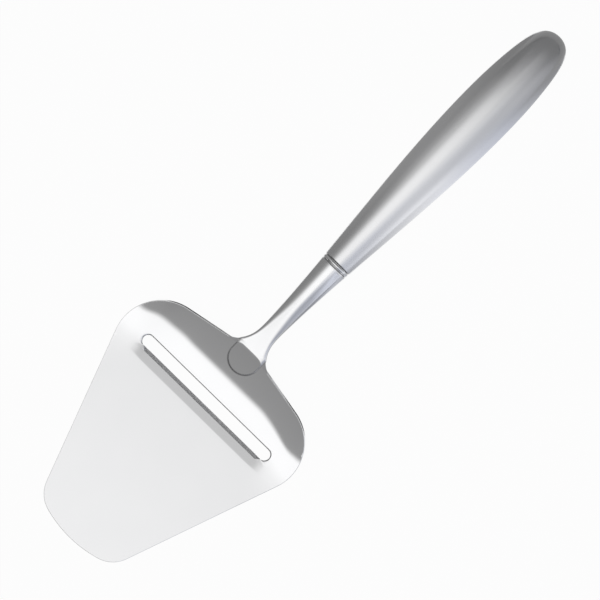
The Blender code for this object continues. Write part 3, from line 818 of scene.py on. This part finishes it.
def flow_radius(x):
    """Radius of the line that runs on from the handle's mouth over the ring to the neck."""
    return MOUTH_RADIUS - MOUTH_SLOPE * (MOUTH - x)


def tongue_plane(x):
    along = (x - TONGUE_NOSE) / (NECK_ROOT - TONGUE_NOSE)
    thickening = (TONGUE_ROOT_THICKNESS - TONGUE_NOSE_THICKNESS) * along
    return blade_top(x) + TONGUE_NOSE_THICKNESS + thickening


def neck_half_width(x):
    if x < NOSE_CENTRE:
        return TONGUE_HALF_WIDTH * sqrt(max(1 - ((NOSE_CENTRE - x) / NOSE_LENGTH) ** 2, 0.0))
    if x < NECK_ROOT:
        along = (x - NOSE_CENTRE) / (NECK_ROOT - NOSE_CENTRE)
        return TONGUE_HALF_WIDTH + (ROOT_HALF_WIDTH - TONGUE_HALF_WIDTH) * along ** 2
    from_root = (x - NECK_ROOT) / WAIST_RUN
    if from_root < 1:
        return WAIST_HALF_WIDTH + (ROOT_HALF_WIDTH - WAIST_HALF_WIDTH) * (1 - from_root) ** FLARE_POWER
    along = (x - NECK_ROOT - WAIST_RUN) / (NECK_SHOULDER - NECK_ROOT - WAIST_RUN)
    return WAIST_HALF_WIDTH + (flow_radius(NECK_SHOULDER) - WAIST_HALF_WIDTH) * along ** SWELL_POWER


ROOT_TOP = tongue_plane(CREASE) + (NECK_ROOT - CREASE) * tan(NECK_PITCH)
ROOT_HALF_HEIGHT = (ROOT_TOP - sole(NECK_ROOT)) / 2
END_RADIUS = flow_radius(NECK_SHOULDER)


def crown_top(x):
    """Highest line of the bar, carried straight on over the tongue."""
    if x < NECK_ROOT:
        return ROOT_TOP - (NECK_ROOT - x) * tan(NECK_PITCH)
    along = (x - NECK_ROOT) / (NECK_SHOULDER - NECK_ROOT)
    return hermite(along, ROOT_TOP, AXIS_HEIGHT + END_RADIUS, tan(NECK_PITCH), MOUTH_SLOPE,
                   NECK_SHOULDER - NECK_ROOT)


def middle_height(x):
    """Height at which the bar is widest."""
    if x < NECK_ROOT:
        seat = blade_top(x) + SEAT_LIFT
        beside_crown = crown_top(x) - ROOT_HALF_HEIGHT
        return seat + (beside_crown - seat) * smooth(clamp((x - LIFT_START) / (CREASE - LIFT_START)))
    along = (x - NECK_ROOT) / (NECK_SHOULDER - NECK_ROOT)
    return crown_top(x) - ROOT_HALF_HEIGHT - (END_RADIUS - ROOT_HALF_HEIGHT) * along


def squareness(x):
    """Power of the section: a flat bar at the root turns into a round one towards the ring."""
    along = clamp((x - CREASE) / ROUNDING_RUN)
    share = SQUARE_AT_CREASE + (1 - SQUARE_AT_CREASE) * smooth(clamp(SQUARE_RISE * along))
    return ROUND_POWER + SQUARE_EXTRA * (1 - along) ** 3 * share


print("neck: root top, mm:", round(1000 * ROOT_TOP, 2), "end radius, mm:", round(1000 * END_RADIUS, 2))

# %% Rings along the neck
SHOULDER_ROUND = 0.00035
CREASE_BLEND = 0.00012
# Painted shade along the tongue's outline and at the neck's end beside the ring's groove
TONGUE_SHADE_WIDTH = 0.0006
SHOULDER_SHADE = 0.5
TANG_RADIUS = 0.0025
TANG_END = 0.1788
TANG_CHAMFER = 0.0003
SHANK_CROWDING = 1.3
NOSE_RINGS = 32
TONGUE_RINGS = 20
SHANK_RINGS = 76
ROUND_RINGS = 6

# Each ring is a place along the tool and a kind of section, or a radius where the neck is round
rings = [(TONGUE_NOSE + NOSE_LENGTH * (1 - cos(pi / 2 * i / NOSE_RINGS)), "tongue")
         for i in range(NOSE_RINGS)]
rings += [(NOSE_CENTRE + (NECK_ROOT - NOSE_CENTRE) * i / TONGUE_RINGS, "tongue")
          for i in range(TONGUE_RINGS + 1)]
shank_end = NECK_SHOULDER - SHOULDER_ROUND
rings += [(NECK_ROOT + (shank_end - NECK_ROOT) * (i / SHANK_RINGS) ** SHANK_CROWDING, "shank")
          for i in range(SHANK_RINGS)]
for i in range(ROUND_RINGS + 1):
    turn = pi / 2 * i / ROUND_RINGS
    rings.append((shank_end + SHOULDER_ROUND * sin(turn), END_RADIUS - SHOULDER_ROUND * (1 - cos(turn))))
rings += [(NECK_SHOULDER, TANG_RADIUS), (TANG_END - TANG_CHAMFER, TANG_RADIUS),
          (TANG_END, TANG_RADIUS - TANG_CHAMFER)]


def softer_low(a, b, blend):
    """The lower of two heights, with the crease between them rounded off."""
    near = max(blend - abs(a - b), 0.0) / blend
    return min(a, b) - near * near * blend / 4


def way_inside(x, y):
    """Distance from the tongue's outline to a point inside it."""
    if x > NOSE_CENTRE:
        return neck_half_width(x) - abs(y)
    from_centre = sqrt(((NOSE_CENTRE - x) / NOSE_LENGTH) ** 2 + (y / TONGUE_HALF_WIDTH) ** 2)
    return TONGUE_HALF_WIDTH * (1 - from_centre)


def neck_point(x, kind, turn):
    """Point of the neck's skin on one ring, at one turn round the bar."""
    if not isinstance(kind, str):
        return (x, kind * cos(turn), AXIS_HEIGHT + kind * sin(turn))
    half = neck_half_width(x)
    power = 2 / squareness(x)
    middle = middle_height(x)
    side = abs(cos(turn)) ** power * (1 if cos(turn) > 0 else -1)
    up = abs(sin(turn)) ** power * (1 if sin(turn) > 0 else -1)
    height = middle + (crown_top(x) - middle) * up
    if kind == "shank":
        if up < 0:
            along = (x - NECK_ROOT) / (NECK_SHOULDER - NECK_ROOT)
            height = middle + (ROOT_HALF_HEIGHT + (END_RADIUS - ROOT_HALF_HEIGHT) * along) * up
        return (x, half * side, height)
    short = clamp(TONGUE_EDGE_ROUND - way_inside(x, half * side), 0.0, TONGUE_EDGE_ROUND)
    top = tongue_plane(x) - TONGUE_EDGE_ROUND + sqrt(TONGUE_EDGE_ROUND ** 2 - short ** 2)
    height = softer_low(height, top, CREASE_BLEND)
    return (x, half * side, max(height, blade_top(x) + SEAT_LIFT))


def neck_joint(place):
    """Painted shade along the tongue's outline, partly a real solder line, and at the neck's end by the ring's
    groove.
    """
    if place.x < BLADE_LENGTH:
        beside_nose = smooth(clamp((NOSE_CENTRE - place.x) / NOSE_LENGTH))
        joint_shade = SIDE_JOINT_SHADE + (NOSE_JOINT_SHADE - SIDE_JOINT_SHADE) * beside_nose
        return joint_shade * (1 - smooth(clamp(way_inside(place.x, place.y) / TONGUE_SHADE_WIDTH)))
    return SHOULDER_SHADE * smooth(clamp((place.x - NECK_SHOULDER + SHOULDER_ROUND) / SHOULDER_ROUND))


print("neck rings:", len(rings))

# %% Shape the neck
NECK_SIDES = 160

neck = bmesh.new()
bmesh.ops.create_cone(neck, cap_ends=True, cap_tris=False, segments=NECK_SIDES, radius1=1, radius2=1,
                      depth=1)
nose_cap = [face for face in neck.faces if all(vert.co.z < -0.4 for vert in face.verts)]
bmesh.ops.delete(neck, geom=nose_cap, context="FACES_ONLY")
lengthwise = [edge for edge in neck.edges if abs(edge.verts[0].co.z - edge.verts[1].co.z) > 0.5]
bmesh.ops.subdivide_edges(neck, edges=lengthwise, cuts=len(rings) - 2, use_grid_fill=True)
for vert in neck.verts:
    x, kind = rings[round((vert.co.z + 0.5) * (len(rings) - 1))]
    vert.co = neck_point(x, kind, atan2(vert.co.y, vert.co.x))
shade_joint(neck, neck_joint)
finish_piece("forged_neck", neck, "neck", NECK_SHARP, neck_steel)

# %% [markdown]
# ## The weld at the neck's root
# Behind the blade's rear edge the weld fills the step under the tongue. It is dressed flush above and left a
# little full below, where it can be felt with a finger. A subdivided block is bent to the room between the
# two pieces, so it touches both.

# %% Weld bead
WELD_BULGE = 0.00012
WELD_REACH = 0.0033
WELD_RUN = 0.0026
WELD_OVERLAP = 0.0008
WELD_CROWN = 0.00015
FILLET_POWER = 1.6
WELD_CUTS = 23

weld = bmesh.new()
bmesh.ops.create_cube(weld, size=1.0)
bmesh.ops.subdivide_edges(weld, edges=weld.edges[:], cuts=WELD_CUTS, use_grid_fill=True)
for vert in weld.verts:
    along = vert.co.x + 0.5
    side = 2 * vert.co.y
    widest = (ROOT_HALF_WIDTH + WELD_REACH) * abs(side)
    front = BLADE_LENGTH - max(widest - REAR_HALF_WIDTH, 0.0) * tan(REAR_SWEEP) - WELD_OVERLAP
    x = front + (NECK_ROOT - front) * along
    fillet = WELD_REACH * clamp((NECK_ROOT - x) / WELD_RUN) ** FILLET_POWER
    half = ROOT_HALF_WIDTH + fillet - WELD_CROWN * (2 * vert.co.z) ** 2
    top = blade_top(x) + SEAT_LIFT
    under = sole(x) - WELD_BULGE * sin(pi * along) * (1 - side ** 4)
    vert.co = (x, half * side, under + (top - under) * (vert.co.z + 0.5))
finish_piece("weld_bead", weld, "root_weld", OTHER_SHARP, weld_steel)

# %% [markdown]
# ## The bead ring
# A half-round bead sits between two fine grooves, where the neck ends and the handle starts. On a lathe it is
# one profile, and here it is the same: a closed profile drawn with the pen and spun once round the axis. Its
# web reaches under both grooves, so that they have a floor.

# %% Ring
AXIS = (0, 0, AXIS_HEIGHT)
ALONG = (1, 0, 0)
RING_WIDTH = 0.0011
GROOVE_DEPTH = 0.00024
GROOVE_FLOOR = 0.00025
BEAD_RADIUS = 0.0010
BORE_GAP = 0.0001
# Painted shade on the groove floors, more at the handle's side
NECK_GROOVE_SHADE = 0.5
HANDLE_GROOVE_SHADE = 0.8
SHADE_MARGIN = 0.00001
BEAD_STEPS = 12
TURN_STEPS = 128


def rise(x, radius):
    """Point beside the axis, at a radius on the +Y side."""
    return (x, radius, AXIS_HEIGHT)


def spin_round(shape):
    chain = shape.verts[:] + shape.edges[:]
    bmesh.ops.spin(shape, geom=chain, cent=AXIS, axis=ALONG, dvec=(0, 0, 0), angle=2 * pi,
                   space=Matrix.Identity(4), steps=TURN_STEPS, use_merge=True, use_duplicate=False)


ring = bmesh.new()
ring_end = RING_START + RING_WIDTH
bead_middle = RING_START + RING_WIDTH / 2
bead_half_angle = asin(RING_WIDTH / 2 / BEAD_RADIUS)
bead_centre = flow_radius(bead_middle) - BEAD_RADIUS
bead_edge = bead_centre + BEAD_RADIUS * cos(bead_half_angle)
floor_radius = flow_radius(RING_START) - GROOVE_DEPTH
pen = Pen(ring, rise(RING_START - GROOVE_FLOOR, TANG_RADIUS + BORE_GAP))
pen.line(rise(RING_START - GROOVE_FLOOR, floor_radius))
pen.line(rise(RING_START, floor_radius))
pen.line(rise(RING_START, bead_edge))
pen.arc(rise(bead_middle, bead_centre), UP, -2 * bead_half_angle, BEAD_STEPS)
pen.line(rise(ring_end, floor_radius))
pen.line(rise(ring_end + GROOVE_FLOOR, floor_radius))
pen.line(rise(ring_end + GROOVE_FLOOR, TANG_RADIUS + BORE_GAP))
pen.close()
spin_round(ring)


def ring_joint(place):
    """Painted shade on the floors of both grooves, more of it at the handle."""
    if Vector((place.y, place.z - AXIS_HEIGHT)).length > bead_edge - SHADE_MARGIN:
        return 0.0
    return NECK_GROOVE_SHADE if place.x < bead_middle else HANDLE_GROOVE_SHADE


shade_joint(ring, ring_joint)
finish_piece("bead_ring", ring, "collar_ring", OTHER_SHARP, neck_steel)

# %% [markdown]
# ## Satin steel for the handle
# The handle is blasted with fine glass beads and brushed, which gives a silky grey that spreads highlights
# wide. Under a lens it is a field of tiny dents with faint lines along the grip. Two noises make it: a fine
# even grain for the dents and a stretched one for the lines, with slow clouds where fingers have polished it.

# %% Finish of the handle
SATIN_ROUGH = 0.25
SATIN_DARK = (0.745, 0.747, 0.757)
SATIN_PALE = (0.815, 0.815, 0.82)
SATIN_RELIEF = 0.0000022

satin = bpy.data.materials.new("satin_handle_steel")
graph = blank_tree(satin)
grain = noise(graph, (5200, 5200, 5200))
strokes = noise(graph, (300, 5000, 5000), 3.0)
clouds = noise(graph, (60, 110, 110), 3.0)
# Painted shade at the mouth, where the handle meets the ring's groove
joint = graph.node("ShaderNodeAttribute", {"attribute_name": JOINT_SHADE}, output="Fac")
roughness = SATIN_ROUGH + 0.07 * (grain - 0.5) + 0.06 * (clouds - 0.5) + 0.04 * (strokes - 0.5)
colour = tint(graph, 0.4 * clouds + 0.35 * strokes + 0.25 * grain, SATIN_DARK, SATIN_PALE)
relief = bump(graph, 0.7 * grain + 0.5 * strokes, SATIN_RELIEF)
metal(graph, with_joint_shade(graph, colour, joint), roughness, relief)
print("satin nodes:", len(satin.node_tree.nodes))

# %% [markdown]
# ## The hollow handle
# Two half shells are pressed from sheet, laid together and welded along the widest line, which is then ground
# until only a hairline is left. Each shell is a profile of its wall, drawn from the butt along the outside to
# the mouth and back along the inside, and spun through half a turn. The open seam is filled at the end.

# %% Wall of the handle
WALL = 0.0009
MOUTH_ROUND = 0.00045
BUTT_TAPER = 0.614
TAPER_POWER = 2.1
END_POWER = 11.0
HANDLE_STEPS = 44
BUTT_STEPS = 44
HAIRLINE = 0.00005


def handle_radius(x, inset=0.0):
    """Radius of the handle at x, or of the surface that lies inset under it."""
    run = BELLY - MOUTH
    belly = BELLY_RADIUS - inset
    if x <= BELLY:
        return hermite((x - MOUTH) / run, MOUTH_RADIUS - inset, belly, MOUTH_SLOPE, 0.0, run)
    along = clamp((x - BELLY) / (BUTT - inset - BELLY))
    taper = BUTT_TAPER * along ** TAPER_POWER
    end = (1 - BUTT_TAPER) * along ** END_POWER
    return belly * sqrt(max(1 - taper - end, 0.0))


def stations(start, inset):
    """Places along the handle, closer together towards the butt."""
    front = [start + (BELLY - start) * i / HANDLE_STEPS for i in range(HANDLE_STEPS)]
    rear = BUTT - inset - BELLY
    return front + [BELLY + rear * (1 - (1 - i / BUTT_STEPS) ** 2) for i in range(BUTT_STEPS + 1)]


outside = [(x, handle_radius(x)) for x in stations(MOUTH + MOUTH_ROUND, 0.0)]
inside = [(x, handle_radius(x, WALL)) for x in stations(MOUTH, WALL)]
print("wall points:", len(outside), "outside,", len(inside), "inside")

# %% Two half shells
HALF_STEPS = 72
MOUTH_STEPS = 6
SHELL_MERGE = 2e-7


def half_shell(name, node, side):
    """One pressed half of the handle, above the seam for a side of 1 and below it for -1."""
    shape = bmesh.new()
    pen = Pen(shape, rise(BUTT, 0.0))
    for x, radius in outside[-2::-1]:
        pen.line(rise(x, radius))
    lip_middle = rise(MOUTH + MOUTH_ROUND, outside[0][1] - MOUTH_ROUND)
    pen.arc(lip_middle, UP, pi / 2, MOUTH_STEPS)
    for x, radius in inside:
        pen.line(rise(x, radius))
    start = side * HAIRLINE / 2 / BELLY_RADIUS
    bmesh.ops.rotate(shape, verts=shape.verts, cent=AXIS, matrix=Matrix.Rotation(start, 3, "X"))
    chain = shape.verts[:] + shape.edges[:]
    bmesh.ops.spin(shape, geom=chain, cent=AXIS, axis=ALONG, dvec=(0, 0, 0), angle=side * pi - 2 * start,
                   space=Matrix.Identity(4), steps=HALF_STEPS, use_merge=False, use_duplicate=False)
    bmesh.ops.remove_doubles(shape, verts=shape.verts, dist=SHELL_MERGE)
    seam = [edge for edge in shape.edges if edge.is_boundary]
    bmesh.ops.edgeloop_fill(shape, edges=seam)
    # Painted shade in the rounding of the mouth, beside the ring's groove
    shade_joint(shape, lambda place: 1 - smooth(clamp((place.x - MOUTH) / MOUTH_ROUND)))
    finish_piece(name, shape, node, OTHER_SHARP, satin)


half_shell("upper_shell", "handle_upper_shell", 1)
half_shell("lower_shell", "handle_lower_shell", -1)

# %% [markdown]
# ## Pieces inside the handle
# The bush in the mouth and the cast filling round the tang can't be seen, but they come apart with the rest.
# Their CAD shapes are already right, so they stay and only get a finish: turned steel with lathe rings, and
# grey resin with specks of filler.

# %% Finishes of the hidden pieces
LATHE_RELIEF = 0.000003
SPECK_RELIEF = 0.00002

turned_steel = bpy.data.materials.new("turned_bush_steel")
graph = blank_tree(turned_steel)
lathe = noise(graph, (9000, 60, 60))
clouds = noise(graph, (400, 400, 400))
colour = tint(graph, 0.6 * lathe + 0.4 * clouds, (0.52, 0.52, 0.53), (0.66, 0.66, 0.67))
metal(graph, colour, 0.34 + 0.14 * lathe, bump(graph, lathe, LATHE_RELIEF))

resin = bpy.data.materials.new("cast_core_resin")
graph = blank_tree(resin)
specks = noise(graph, (2600, 2600, 2600), 3.0, rough=0.7)
swirl = noise(graph, (160, 160, 160), 3.0)
colour = tint(graph, 0.5 * specks + 0.5 * swirl, (0.25, 0.235, 0.21), (0.41, 0.385, 0.35))
metal(graph, colour, 0.72 + 0.2 * swirl, bump(graph, specks, SPECK_RELIEF), metallic=0.0)

for node, finish in (("mouth_bush", turned_steel), ("handle_core", resin)):
    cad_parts[node].data.materials.clear()
    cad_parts[node].data.materials.append(finish)
    print(node, "wears", finish.name)

# %% [markdown] ## Finish The scene is brought up to date at the end.
# The dressed slicer must stay inside the box of the CAD model.

# %% Update the scene
bpy.context.view_layer.update()
